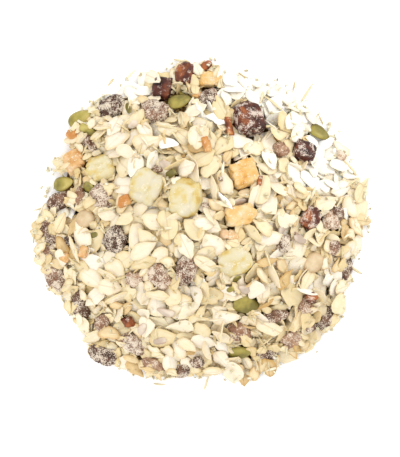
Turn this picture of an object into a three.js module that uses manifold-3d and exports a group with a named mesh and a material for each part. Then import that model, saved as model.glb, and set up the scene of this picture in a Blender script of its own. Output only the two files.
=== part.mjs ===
// A loose heap of dry fruit muesli: oat and wheat flakes settled round raisins, dates, candied
// papaya, soft pineapple chunks, pumpkin seeds and a few nuts. It lies on a flat surface.
// Millimetres, +Z up. In the view from straight above x runs right and y runs up, and the origin
// is the middle of the base.

import * as THREE from 'three';
import { ConvexGeometry } from 'three/addons/geometries/ConvexGeometry.js';
import { mergeVertices } from 'three/addons/utils/BufferGeometryUtils.js';
import Module from 'manifold-3d';

const wasm = await Module();
wasm.setup();

// The bare core, the settled mass under the pieces that show.
const CORE_RADIUS = 66;
const CORE_HEIGHT = 30.5;
const CORE_RIM_HEIGHT = 2;
const CORE_SLOPE_POWER = 1.7; // 1 is a cone, 2 a round dome
const CORE_LUMP_HEIGHT = 0.9;
const CORE_LUMP_SPACING = 21;
const CORE_RINGS = 7;
const CORE_SECTORS = 36;
const INSIDE_RIM = 0.9999; // keeps a corner on the rim from counting as beside the core
// Waves round the rim: how many, how far they swing and where the first crest lies, in degrees.
const RIM_WAVES = [[1, 1.4, 60], [3, 0.8, -52], [6, 1.4, 40]];

// The flakes that show.
const FLAKE_PLACES = 176;
const FLAKE_ORDER_STEP = 75; // visits the places in mixed order
const FLAKE_LENGTH = { largest: 12.4, smallest: 8 };
const FLAKE_SLIMNESS = { least: 0.5, most: 0.84 }; // width over length
const FLAKE_THICKNESS = 1.9; // in the middle of its lens shape
const FLAKE_SIDES = 7;
const FLAKE_UNEVENNESS = 0.14; // how far its corners lie in or out, as a share
const FLAKE_SINK = 0.7; // pressed into what it rests on, so that the heap is one body
const FLAKE_TILTS = [-0.9, -0.6, -0.4, -0.25, -0.12, 0, 0.12, 0.25, 0.4, 0.6, 0.9]; // slopes tried
const FLAKE_MAX_SLOPE = 1.3;
const STEEP_EVERY = 9;
const STEEP_SLOPE = 1.9;
const STEEP_LIFT = 0.1; // of the flake's width
const PLACE_JITTER = 4;
const PLACE_TRIES = 6;
const TOPPING_COST = 4; // of covering a topping, against covering another flake
const COVERED_SHARE = 0.15; // how much of a flake may lie over a topping
const SPOT_RINGS = [0.5, 0.95]; // where a flake is tried against the ground, out from its middle
const SPOTS_IN_RING = 8;

const TOPPING_GAP = 0.4; // round each topping
const TOPPING_HEADROOM = TOPPING_GAP + FLAKE_SINK + 0.15;
const TOPPING_LEAST_FLOOR = 1.3; // core left under a topping; a lower one stands on the surface
const TOPPING_LEAN = 0.2; // how far a topping leans at random, as a slope
const TOPPING_FLATNESS = 1.25; // how much flatter it lies than the slope under it
const TOPPING_SEED_STEP = 7.31; // gives each topping of a kind its own random numbers

// Each kind of topping. height is the thickness over the width; sunk is how much of it lies in
// the core; squareness is 2 for an ellipsoid and more for a dice; uneven is the random share.
const KINDS = {
  raisin: { height: 0.72, sunk: 0.48, squareness: 2.2, uneven: 0.09, points: 26 },
  date: { height: 0.74, sunk: 0.46, squareness: 4.5, uneven: 0.06, points: 34 },
  papaya: { height: 0.72, sunk: 0.46, squareness: 4.5, uneven: 0.06, points: 34 },
  pineapple: { height: 0.6, sunk: 0.5, squareness: 3, uneven: 0.1, points: 38 },
  nut: { height: 0.66, sunk: 0.45, squareness: 2, uneven: 0.04, points: 28 },
  pumpkin_seed: { height: 0.36, sunk: 0.3 },
};

const FINISHES = {
  flake_heap: { color: 0xe2cfa2, roughness: 0.85 },
  raisin: { color: 0x6b5244, roughness: 0.75 },
  date: { color: 0x54301f, roughness: 0.7 },
  papaya: { color: 0xe09a4c, roughness: 0.5 },
  pineapple: { color: 0xe6d9a0, roughness: 0.45 },
  nut: { color: 0xcfa878, roughness: 0.6 },
  pumpkin_seed: { color: 0x8d8a4c, roughness: 0.45 },
};

// A pumpkin seed's outline is a circle narrowed towards one end, which widens it by widest at the
// other. Its rim is rimShare as thick as the whole, and its crown is crownShare as long and wide.
const SEED_SHAPE = { corners: 12, narrowing: 0.3, widest: 1.05, rimShare: 0.28, crownShare: 0.6 };

// Where each topping lies: x, y, length, width, and the turn of its length from +x in degrees.
const PLACES = {
  pineapple: [
    [-41.5, 24.5, 13, 11.5, 10],
    [-22.5, 16.5, 15.5, 14, 70],
    [-6, 12.5, 17, 15, 80],
    [14.5, -14, 16, 13, 15],
  ],
  papaya: [
    [18, 22, 13.5, 12.5, 20],
    [16.5, 5, 15, 10, 12],
    [13, -3.3, 12, 4.8, -4],
    [-53, 27.6, 11, 10, 35],
    [4.5, 62, 10, 7, -8],
  ],
  date: [
    [-16, 58.5, 10.5, 9, 75],
    [-6.5, 64.5, 10.5, 8.5, 80],
    [20, 45, 15.5, 13.5, 100],
    [43.5, 31.5, 10.5, 9.5, -20],
    [46, 3.8, 10.5, 8.5, 60],
  ],
  raisin: [
    [-37.5, 50.5, 13.4, 10, 15],
    [-19, 48.5, 12.8, 10, -10],
    [-46.6, 36, 10.6, 6.2, -55],
    [4, 54, 9.2, 7.6, 20],
    [34.2, 32.8, 7.6, 6.6, 40],
    [-35, -5, 12.6, 10.5, 60],
    [-17, -21, 12.6, 9, -60],
    [-6, -18, 14.5, 9.4, 75],
    [-27.5, -22.5, 8.5, 7, 30],
    [-41, 12.5, 12, 9.5, -65],
    [-60, 10.5, 12.4, 7.5, 25],
    [-65, -0.5, 9.5, 6.5, 80],
    [-64.5, -10, 7.6, 7, 10],
    [-61, -21.5, 12.4, 8.8, -60],
    [-50, -33.5, 14, 7.5, -72],
    [-41.5, -40.5, 10.8, 7.5, 65],
    [-40.5, -54, 13.6, 8.2, -15],
    [-28.5, -49, 12.4, 9, -40],
    [-19.5, -58, 10.6, 7.5, -30],
    [-8, -60.5, 7.8, 6.8, 60],
    [31.5, -37, 11.2, 6.3, 5],
    [16.5, -44, 11.6, 7.5, -25],
    [44, -33.5, 9, 8, 20],
    [53.5, -38, 12, 8, 60],
    [38, -47.5, 10, 8, 40],
    [28.5, -53.5, 9.6, 6.5, -10],
    [55, 3.5, 9, 8, 80],
    [55.5, -8.5, 8.4, 6, 15],
    [62, -18, 9.8, 5, 80],
    [-51, 13, 9, 5, 80],
  ],
  nut: [
    [-48, 3.5, 9.6, 8.4, 25],
    [47.5, -15, 10.8, 10, 60],
  ],
  pumpkin_seed: [
    [-50.5, 46, 11, 6.6, 25],
    [-57.6, 18.4, 9, 6, 10],
    [-8.6, 53, 9.6, 6.4, 20],
    [50.5, 40, 9.6, 6.4, -30],
    [19.5, -32.5, 11.8, 8, -15],
    [17, -53, 10, 6.4, 10],
  ],
};

// What each of a thing's random numbers is for. A place's are counted on from these by the try,
// and a flake's corners by the corner.
const QUESTION = { leanX: 1, leanY: 2, slimness: 3, corner: 10, x: 20, y: 40, turn: 60 };

const WELD_DISTANCE = 1e-4;
const SMALLEST_DETAIL = 0.02; // finer steps are dropped from the joined heap

const DOWN = new THREE.Vector3(0, 0, -1);
const UP = new THREE.Vector3(0, 0, 1);
const GOLDEN_ANGLE = Math.PI * (3 - Math.sqrt(5));

/** A repeatable random number from 0 to 1 for a thing's number and the question asked of it. */
function draw(number, question) {
  const wave = Math.sin(number * 12.9898 + question * 78.233) * 43758.5453;
  return wave - Math.floor(wave);
}

/** A repeatable random number from -1 to 1. */
function swing(number, question) {
  return 2 * draw(number, question) - 1;
}

/** The core's radius in the direction of an angle: a circle with a few slow waves. */
function rimRadius(angle) {
  let radius = CORE_RADIUS;
  for (const [count, reach, crest] of RIM_WAVES) {
    radius += reach * Math.cos(count * angle - THREE.MathUtils.degToRad(crest));
  }
  return radius;
}

/** The height of the bare core over a point, or 0 beside it. */
function coreTop(x, y) {
  const share = Math.hypot(x, y) / rimRadius(Math.atan2(y, x));
  if (share > 1) return 0;
  const slope = (CORE_HEIGHT - CORE_RIM_HEIGHT) * (1 - share ** CORE_SLOPE_POWER);
  const turns = (2 * Math.PI) / CORE_LUMP_SPACING;
  const lumps = Math.sin(x * turns + 1) * Math.sin(y * turns + 2) * CORE_LUMP_HEIGHT;
  return CORE_RIM_HEIGHT + slope + lumps * (1 - share);
}

/** Merges a geometry's shared corners, so that only positions and their triangles are left. */
function closed(geometry) {
  geometry.deleteAttribute('normal');
  geometry.deleteAttribute('uv');
  return mergeVertices(geometry, WELD_DISTANCE);
}

function toSolid(geometry) {
  return new wasm.Manifold(new wasm.Mesh({
    numProp: 3,
    vertProperties: Float32Array.from(geometry.getAttribute('position').array),
    triVerts: Uint32Array.from(geometry.index.array),
  }));
}

function toGeometry(solid) {
  const mesh = solid.getMesh();
  const geometry = new THREE.BufferGeometry();
  geometry.setAttribute('position', new THREE.BufferAttribute(mesh.vertProperties, 3));
  geometry.setIndex(new THREE.BufferAttribute(mesh.triVerts, 1));
  geometry.computeVertexNormals();
  return geometry;
}

/** The bare core: a turned dome, drawn out to the wavy rim and raised to the heap's slope. */
function coreGeometry() {
  const profile = [new THREE.Vector2(0, 0), new THREE.Vector2(1, 0)];
  for (let ring = 0; ring <= CORE_RINGS; ring += 1) {
    profile.push(new THREE.Vector2(1 - ring / CORE_RINGS, 1));
  }
  const geometry = closed(new THREE.LatheGeometry(profile, CORE_SECTORS).rotateX(Math.PI / 2));
  const position = geometry.getAttribute('position');
  for (let corner = 0; corner < position.count; corner += 1) {
    const angle = Math.atan2(position.getY(corner), position.getX(corner));
    const share = Math.hypot(position.getX(corner), position.getY(corner));
    const x = share * rimRadius(angle) * Math.cos(angle);
    const y = share * rimRadius(angle) * Math.sin(angle);
    const isTop = position.getZ(corner) > 0.5; // the profile's base is at 0 and its top at 1
    position.setXYZ(corner, x, y, isTop ? coreTop(x * INSIDE_RIM, y * INSIDE_RIM) : 0);
  }
  return geometry;
}

/** A fruit piece: the hull of points spread evenly over a rounded block, each a little uneven. */
function blockGeometry(kind, length, width, seed) {
  const points = [];
  for (let index = 0; index < kind.points; index += 1) {
    const z = 1 - (2 * (index + 0.5)) / kind.points;
    const angle = index * GOLDEN_ANGLE + seed;
    const flat = Math.sqrt(1 - z * z);
    const point = new THREE.Vector3(flat * Math.cos(angle), flat * Math.sin(angle), z);
    const powers = point.toArray().map((part) => Math.abs(part) ** kind.squareness);
    const sum = powers.reduce((total, power) => total + power);
    point.multiplyScalar(sum ** (-1 / kind.squareness) * (1 + kind.uneven * swing(seed, index)));
    points.push(point.multiply(new THREE.Vector3(length / 2, width / 2, (width * kind.height) / 2)));
  }
  return closed(new ConvexGeometry(points));
}

/** A pumpkin seed: a flat drop, pointed at one end, with a low crown on both faces. */
function seedGeometry(kind, length, width) {
  const { corners, narrowing, widest, rimShare, crownShare } = SEED_SHAPE;
  const points = [];
  const halfThickness = (width * kind.height) / 2;
  for (let index = 0; index < corners; index += 1) {
    const angle = (index / corners) * 2 * Math.PI;
    const x = (Math.cos(angle) * length) / 2;
    const y = (Math.sin(angle) * (1 - narrowing * Math.cos(angle)) * width) / (2 * widest);
    for (const face of [-halfThickness, halfThickness]) {
      points.push(new THREE.Vector3(x, y, face * rimShare));
      points.push(new THREE.Vector3(x * crownShare, y * crownShare, face));
    }
  }
  return closed(new ConvexGeometry(points));
}

/** Makes a named mesh with its kind's finish. */
function makeMesh(name, kindName, geometry) {
  const mesh = new THREE.Mesh(geometry, new THREE.MeshStandardMaterial(FINISHES[kindName]));
  mesh.name = name;
  return mesh;
}

/** A topping laid along the slope of the core, sunk in as deep as its kind is. */
function placeTopping(kindName, place, number) {
  const kind = KINDS[kindName];
  const [x, y, length, width, turn] = place;
  const seed = number * TOPPING_SEED_STEP + length;
  const isSeed = kindName === 'pumpkin_seed';
  const makeGeometry = isSeed ? seedGeometry : blockGeometry;
  const mesh = makeMesh(`${kindName}_${number}`, kindName, makeGeometry(kind, length, width, seed));

  const step = width / 2;
  const slopeX = (coreTop(x + step, y) - coreTop(x - step, y)) / (2 * step);
  const slopeY = (coreTop(x, y + step) - coreTop(x, y - step)) / (2 * step);
  const leanX = TOPPING_LEAN * swing(seed, QUESTION.leanX) - slopeX;
  const leanY = TOPPING_LEAN * swing(seed, QUESTION.leanY) - slopeY;
  const up = new THREE.Vector3(leanX, leanY, TOPPING_FLATNESS).normalize();
  mesh.quaternion.setFromUnitVectors(UP, up);
  mesh.rotateZ(THREE.MathUtils.degToRad(turn));

  mesh.position.set(x, y, coreTop(x, y) + (0.5 - kind.sunk) * width * kind.height);
  mesh.updateMatrixWorld();
  const lowest = new THREE.Box3().setFromObject(mesh, true).min.z;
  if (lowest < TOPPING_LEAST_FLOOR) {
    mesh.position.z -= lowest;
    mesh.updateMatrixWorld();
  }
  return mesh;
}

/** The room a topping takes out of the heap: its own shape, larger by the gap all round. */
function pocketOf(topping) {
  topping.geometry.computeBoundingBox();
  const half = topping.geometry.boundingBox.getSize(new THREE.Vector3()).multiplyScalar(0.5);
  const growth = half.clone().addScalar(TOPPING_GAP).divide(half);
  const geometry = topping.geometry.clone().scale(growth.x, growth.y, growth.z);
  return toSolid(geometry.applyMatrix4(topping.matrixWorld));
}

/** Makes a function that gives the height of the highest of some meshes over a point, or 0. */
function makeTopOf(meshes) {
  const ray = new THREE.Raycaster();
  const bounds = meshes.map((mesh) => new THREE.Box3().setFromObject(mesh, true));
  return (x, y) => {
    const from = new THREE.Vector3(x, y, 2 * CORE_HEIGHT);
    const near = meshes.filter((mesh, index) => {
      const { min, max } = bounds[index];
      return x > min.x && x < max.x && y > min.y && y < max.y;
    });
    ray.set(from, DOWN);
    return Math.max(0, ...ray.intersectObjects(near).map((hit) => hit.point.z));
  };
}

/** The mean height of a flake's upper face over a point, or 0 beside the flake. */
function flakeTop(flake, x, y) {
  const dx = x - flake.x;
  const dy = y - flake.y;
  const along = dx * Math.cos(flake.turn) + dy * Math.sin(flake.turn);
  const across = dy * Math.cos(flake.turn) - dx * Math.sin(flake.turn);
  if ((along / flake.length) ** 2 + (across / flake.width) ** 2 > 0.25) return 0;
  return flake.z + along * flake.slopeAlong + across * flake.slopeAcross + FLAKE_THICKNESS / 4;
}

/** Points over a flake's footprint, its middle and two rings, and how deep it bulges there. */
function footprint(flake) {
  const spots = [[0, 0, 0]];
  for (const ring of SPOT_RINGS) {
    for (let index = 0; index < SPOTS_IN_RING; index += 1) {
      const angle = (index / SPOTS_IN_RING) * 2 * Math.PI;
      const along = (ring * Math.cos(angle) * flake.length) / 2;
      const across = (ring * Math.sin(angle) * flake.width) / 2;
      spots.push([along, across, ring]);
    }
  }
  return spots.map(([along, across, ring]) => ({
    along,
    across,
    belly: (1 - ring) * (FLAKE_THICKNESS / 2),
    x: flake.x + along * Math.cos(flake.turn) - across * Math.sin(flake.turn),
    y: flake.y + along * Math.sin(flake.turn) + across * Math.cos(flake.turn),
  }));
}

/** The slope of the ground under a flake, along or across it. */
function groundSlope(spots, key) {
  const lifted = spots.reduce((total, spot) => total + spot[key] * spot.ground, 0);
  return lifted / spots.reduce((total, spot) => total + spot[key] ** 2, 0);
}

/** A flake's slope: the ground's and the tilt that is tried on it, within what a flake holds. */
function heldSlope(ground, tilt) {
  return THREE.MathUtils.clamp(ground + tilt, -FLAKE_MAX_SLOPE, FLAKE_MAX_SLOPE);
}

/** The height at which a flake with these slopes touches the ground under its footprint. */
function restingHeight(spots, slopeAlong, slopeAcross) {
  const lifts = spots.map((spot) => {
    const rise = spot.along * slopeAlong + spot.across * slopeAcross;
    return spot.ground + spot.belly - rise;
  });
  return Math.max(...lifts);
}

/** Lays a flake on the ground under it, with the slopes that let its middle come down lowest. */
function settle(flake, spots, isSteep) {
  const alongGround = groundSlope(spots, 'along');
  const acrossGround = groundSlope(spots, 'across');
  let lowest = Infinity;
  for (const tiltAlong of FLAKE_TILTS) {
    for (const tiltAcross of FLAKE_TILTS) {
      const slopeAlong = heldSlope(alongGround, tiltAlong);
      const slopeAcross = heldSlope(acrossGround, tiltAcross);
      const height = restingHeight(spots, slopeAlong, slopeAcross);
      if (height >= lowest) continue;
      lowest = height;
      Object.assign(flake, { slopeAlong, slopeAcross });
    }
  }
  flake.z = lowest - FLAKE_SINK;
  if (isSteep) {
    flake.slopeAcross = STEEP_SLOPE * Math.sign(flake.slopeAcross);
    flake.z += flake.width * STEEP_LIFT;
  }
}

/** A flake put down near its place, with the ground and the toppings under its footprint. */
function putDown(number, attempt, flakes, bareTop, toppingTop) {
  const place = (number * FLAKE_ORDER_STEP) % FLAKE_PLACES;
  const angle = place * GOLDEN_ANGLE;
  const reach = Math.sqrt((place + 0.5) / FLAKE_PLACES) * rimRadius(angle);
  const { largest, smallest } = FLAKE_LENGTH;
  const length = THREE.MathUtils.lerp(largest, smallest, number / FLAKE_PLACES);
  const { least, most } = FLAKE_SLIMNESS;
  const slimness = THREE.MathUtils.lerp(least, most, draw(number, QUESTION.slimness));
  const flake = {
    number,
    x: reach * Math.cos(angle) + PLACE_JITTER * swing(number, QUESTION.x + attempt),
    y: reach * Math.sin(angle) + PLACE_JITTER * swing(number, QUESTION.y + attempt),
    turn: Math.PI * draw(number, QUESTION.turn + attempt),
    length,
    width: length * slimness,
  };
  const spots = footprint(flake);
  let onToppings = 0;
  let onFlakes = 0;
  for (const spot of spots) {
    const topping = toppingTop(spot.x, spot.y);
    const below = Math.max(0, ...flakes.map((other) => flakeTop(other, spot.x, spot.y)));
    const headroom = topping > 0 ? topping + TOPPING_HEADROOM : 0;
    spot.ground = Math.max(bareTop(spot.x, spot.y), headroom, FLAKE_SINK, below);
    if (topping > 0) onToppings += 1 / spots.length;
    if (below > 0) onFlakes += 1 / spots.length;
  }
  return { flake, spots, onToppings, cost: TOPPING_COST * onToppings + onFlakes };
}

/** The flakes that show: spread evenly over the heap, the largest first, each on those before. */
function layFlakes(bareTop, toppingTop) {
  const flakes = [];
  for (let number = 0; number < FLAKE_PLACES; number += 1) {
    let best = putDown(number, 0, flakes, bareTop, toppingTop);
    for (let attempt = 1; attempt < PLACE_TRIES; attempt += 1) {
      const other = putDown(number, attempt, flakes, bareTop, toppingTop);
      if (other.cost < best.cost) best = other;
    }
    if (best.onToppings > COVERED_SHARE) continue;
    const { flake, spots } = best;
    const isOnCore = coreTop(flake.x, flake.y) > 2 * CORE_RIM_HEIGHT;
    settle(flake, spots, number % STEEP_EVERY === 0 && isOnCore);
    flakes.push(flake);
  }
  return flakes;
}

/** A flake's solid: a thin lens with uneven corners, turned to lie as it settled. */
function flakeGeometry(flake) {
  const geometry = closed(new THREE.SphereGeometry(1, FLAKE_SIDES, 2).rotateX(Math.PI / 2));
  const position = geometry.getAttribute('position');
  for (let corner = 0; corner < position.count; corner += 1) {
    const angle = Math.atan2(position.getY(corner), position.getX(corner)) + 2 * Math.PI;
    const side = Math.round((angle / (2 * Math.PI)) * FLAKE_SIDES) % FLAKE_SIDES;
    const reach = (1 + FLAKE_UNEVENNESS * swing(flake.number, QUESTION.corner + side)) / 2;
    position.setX(corner, position.getX(corner) * reach * flake.length);
    position.setY(corner, position.getY(corner) * reach * flake.width);
    position.setZ(corner, (position.getZ(corner) * FLAKE_THICKNESS) / 2);
  }
  const along = new THREE.Vector3(Math.cos(flake.turn), Math.sin(flake.turn), flake.slopeAlong);
  const across = new THREE.Vector3(-Math.sin(flake.turn), Math.cos(flake.turn), flake.slopeAcross);
  const normal = along.clone().cross(across).normalize();
  along.normalize();
  across.crossVectors(normal, along);
  const pose = new THREE.Matrix4().makeBasis(along, across, normal);
  return geometry.applyMatrix4(pose.setPosition(flake.x, flake.y, flake.z));
}

/** The largest of the bodies that a solid falls into. Loose scraps and sealed hollows go. */
function largestBody(solid) {
  return solid.decompose().reduce((best, body) => (body.volume() > best.volume() ? body : best));
}

/** The heap: the core and its flakes joined, less the room of each topping and what is under 0. */
function makeHeap(toppings) {
  const core = coreGeometry();
  const laid = layFlakes(makeTopOf([new THREE.Mesh(core)]), makeTopOf(toppings));
  const flakes = laid.map((flake) => toSolid(flakeGeometry(flake)));
  const joined = wasm.Manifold.union([toSolid(core), ...flakes]);
  const pockets = wasm.Manifold.union(toppings.map(pocketOf));
  const cut = joined.subtract(pockets).trimByPlane(UP.toArray(), 0);
  const body = largestBody(cut.simplify(SMALLEST_DETAIL));
  return makeMesh('flake_heap', 'flake_heap', toGeometry(body));
}

const toppings = [];
for (const [kindName, places] of Object.entries(PLACES)) {
  places.forEach((place, index) => toppings.push(placeTopping(kindName, place, index + 1)));
}

const group = new THREE.Group();
group.add(makeHeap(toppings), ...toppings);

// The origin goes to the middle of the base.
const middle = new THREE.Box3().setFromObject(group, true).getCenter(new THREE.Vector3());
group.position.set(-middle.x, -middle.y, 0);

export default group;
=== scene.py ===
"""Dresses a loose heap of dry fruit muesli, seen from straight above on a pale surface.

The heap's flakes are laid one by one on a dark core, round the fruit, until they reach the height
of the modelled heap; the core's dark brown is painted shade that shows in the gaps between them. Each
fruit, nut and seed is the modelled piece with its faces rounded off and its own wrinkles. Sizes in this
file are in millimetres until a mesh is written.
"""

import math

import bpy
import numpy as np
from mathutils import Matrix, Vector
from mathutils.bvhtree import BVHTree


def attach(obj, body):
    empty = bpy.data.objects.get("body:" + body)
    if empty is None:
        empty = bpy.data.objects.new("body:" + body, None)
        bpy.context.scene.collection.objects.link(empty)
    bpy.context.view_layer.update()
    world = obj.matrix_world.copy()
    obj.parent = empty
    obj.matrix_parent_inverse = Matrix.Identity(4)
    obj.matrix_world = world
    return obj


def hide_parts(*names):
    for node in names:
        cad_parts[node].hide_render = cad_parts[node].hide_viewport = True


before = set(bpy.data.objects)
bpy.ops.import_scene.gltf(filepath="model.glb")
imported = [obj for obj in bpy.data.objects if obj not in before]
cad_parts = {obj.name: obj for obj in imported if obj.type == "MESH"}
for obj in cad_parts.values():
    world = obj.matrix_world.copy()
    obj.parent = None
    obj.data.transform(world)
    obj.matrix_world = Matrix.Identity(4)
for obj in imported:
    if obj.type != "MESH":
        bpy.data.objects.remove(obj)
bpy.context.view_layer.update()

MM = 0.001
SEED = 20
HEAP = "flake_heap"

# The photograph: its size in pixels, and how many millimetres a pixel is on the heap.
PHOTO_WIDTH, PHOTO_HEIGHT = 400, 457
MM_PER_PIXEL = 0.42
HEAP_PIXEL = (200, 227)  # the pixel that the fruit's places are measured from
HEAP_MIDDLE = (-1.85, -1.19)  # where that pixel is in the frame
CAMERA_HEIGHT = 1400.0
SENSOR = 36.0
FOCUS_LEVEL = 12.0  # the height at which the scale is exact

# The ground that flakes come to rest on: a square of cells, each with its height so far.
CELL = 0.5
FIELD_REACH = 92.0
FIELD_CELLS = int(2 * FIELD_REACH / CELL)
HEAP_EDGE = 0.8  # a cell with less height than this is table, not heap
CORE_DEPTH = 4.2  # how far the core lies under the flakes that show
SMOOTHING_PASSES = 14

# Flakes bank up against the sides of round fruit: how many times blurred the bank is, the share of
# fruit near a cell that starts it, how much steeper than the blurred fruit it is and how far it may
# rise over the heap.
BANK_PASSES, BANK_FROM, BANK_STEEPNESS, BANK_RISE = 30, 0.12, 2.2, 2.5
RIM_PASSES = 130  # how far round the rim loose slivers and crumbs spread
RIM_LEAST = 0.04  # where the blurred rim is fainter than this, nothing lies
LOOSE_PIECES = {"husk_slivers": (90, 30), "oat_crumbs": (200, 140)}  # on the heap and beside it


def from_photo(pixel_x, pixel_y):
    """The place in the frame, in mm, of a pixel of the photograph."""
    x = HEAP_MIDDLE[0] + (pixel_x - HEAP_PIXEL[0]) * MM_PER_PIXEL
    y = HEAP_MIDDLE[1] + (HEAP_PIXEL[1] - pixel_y) * MM_PER_PIXEL
    return x, y


# ---------------------------------------------------------------- shapes as arrays


def noise(points, seed):
    """Smooth random values from -1 to 1: numbers on a unit lattice, blended with smoothstep."""
    table = np.random.default_rng(seed).uniform(-1, 1, (32, 32, 32))
    cell = np.floor(points).astype(int)
    part = points - cell
    part = part * part * (3 - 2 * part)
    total = np.zeros(points.shape[:-1])
    for corner in np.ndindex(2, 2, 2):
        weight = np.prod(np.where(corner, part, 1 - part), axis=-1)
        where = (cell + corner) % 32
        total += weight * table[where[..., 0], where[..., 1], where[..., 2]]
    return total


def creases(points, seed, width):
    """Narrow valleys, 1 along the bottom and 0 between: where smooth noise passes through 0."""
    return np.exp(-((noise(points, seed) / width) ** 2))


def ball_directions(rows, columns):
    """Unit vectors on a grid: rows go from pole to pole along x, columns turn about x."""
    down = (np.arange(rows) + 1) / (rows + 1) * math.pi
    turn = np.arange(columns) / columns * 2 * math.pi
    down, turn = np.meshgrid(down, turn, indexing="ij")
    ring = np.stack([np.cos(down), np.sin(down) * np.cos(turn), np.sin(down) * np.sin(turn)], -1)
    first = np.array([[1.0, 0.0, 0.0]])
    return np.concatenate([first, ring.reshape(-1, 3), -first])


def closed_faces(rows, columns):
    """Faces of a grid of rings between two poles: a fan, bands of quads and a fan."""
    ring = np.arange(columns)
    after = (ring + 1) % columns
    last = 1 + rows * columns
    start = 1 + np.arange(rows - 1)[:, None] * columns
    fans = np.concatenate(
        [
            np.stack([np.zeros_like(ring), 1 + ring, 1 + after], -1),
            np.stack([np.full_like(ring, last), last - columns + after, last - columns + ring], -1),
        ]
    )
    bands = np.stack([start + ring, start + ring + columns, start + after + columns, start + after], -1)
    return fans, bands.reshape(-1, 4)


def piece_mesh(name, points, fans, bands, layers=None, places=None):
    """Writes triangles and quads into a mesh. points are in mm, layers are numbers for each point
    by name, and places are where on its flake each point lies.

    The faces are turned round if they enclose a negative volume.
    """
    a, b, c = (points[fans[:, k]] for k in range(3))
    volume = np.einsum("ij,ij->", a, np.cross(b, c))
    for first, second, third in ((0, 1, 2), (0, 2, 3)):
        a, b, c = (points[bands[:, k]] for k in (first, second, third))
        volume += np.einsum("ij,ij->", a, np.cross(b, c))
    if volume < 0:
        fans, bands = fans[:, ::-1], bands[:, ::-1]
    corners = np.concatenate([fans.ravel(), bands.ravel()]).astype(np.int32)
    sizes = np.concatenate([np.full(len(fans), 3), np.full(len(bands), 4)]).astype(np.int32)
    mesh = bpy.data.meshes.new(name)
    mesh.vertices.add(len(points))
    mesh.vertices.foreach_set("co", (points * MM).astype(np.float32).ravel())
    mesh.loops.add(len(corners))
    mesh.loops.foreach_set("vertex_index", corners)
    mesh.polygons.add(len(sizes))
    mesh.polygons.foreach_set("loop_start", (np.cumsum(sizes) - sizes).astype(np.int32))
    mesh.polygons.foreach_set("use_smooth", np.ones(len(sizes), bool))
    mesh.update(calc_edges=True)
    for layer_name, values in (layers or {}).items():
        layer = mesh.attributes.new(layer_name, "FLOAT", "POINT")
        layer.data.foreach_set("value", np.broadcast_to(values, len(points)).astype(np.float32))
    if places is not None:
        layer = mesh.uv_layers.new(name="flake_place")
        layer.data.foreach_set("uv", places[corners].astype(np.float32).ravel())
    return mesh


def add_piece(name, mesh, material, replaced):
    """Puts a mesh into the scene as a piece of the heap."""
    piece = bpy.data.objects.new(name, mesh)
    bpy.context.scene.collection.objects.link(piece)
    mesh.materials.append(material)
    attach(piece, "root")
    if replaced:
        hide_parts(*replaced)
    return piece


# ---------------------------------------------------------------- materials


def linear(hex_colour):
    """An sRGB hex colour as linear red, green, blue and alpha."""
    parts = np.array([int(hex_colour[at : at + 2], 16) for at in (1, 3, 5)]) / 255
    straight = np.where(parts <= 0.04045, parts / 12.92, ((parts + 0.055) / 1.055) ** 2.4)
    return (*straight, 1.0)


def add_node(tree, kind, inputs=None, stops=None, **settings):
    """Adds one shader node. inputs maps a socket to a value, to an output that is linked to it or to
    a node whose first output is, and stops are a colour ramp's places and colours."""
    node = tree.nodes.new("ShaderNode" + kind)
    for name, value in settings.items():
        setattr(node, name, value)
    for socket, value in (inputs or {}).items():
        if isinstance(value, bpy.types.Node):
            value = value.outputs[0]
        if isinstance(value, bpy.types.NodeSocket):
            tree.links.new(value, node.inputs[socket])
        else:
            node.inputs[socket].default_value = value
    if stops:
        ramp = node.color_ramp.elements
        while len(ramp) < len(stops):
            ramp.new(0.5)
        for element, (place, colour) in zip(ramp, stops):
            element.position = place
            element.color = linear(colour)
    return node


def new_material(name):
    """An empty material and its node tree."""
    material = bpy.data.materials.new(name)
    material.use_nodes = True
    material.node_tree.nodes.clear()
    return material, material.node_tree


def finished(material, tree, surface):
    """Gives a material its shader, with the given inputs, and its output."""
    shader = add_node(tree, "BsdfPrincipled", surface)
    add_node(tree, "OutputMaterial", {0: shader})
    return material


def per_mm(size):
    """The texture scale at which a pattern's features are about size mm wide."""
    return 1 / (size * MM)


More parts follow.
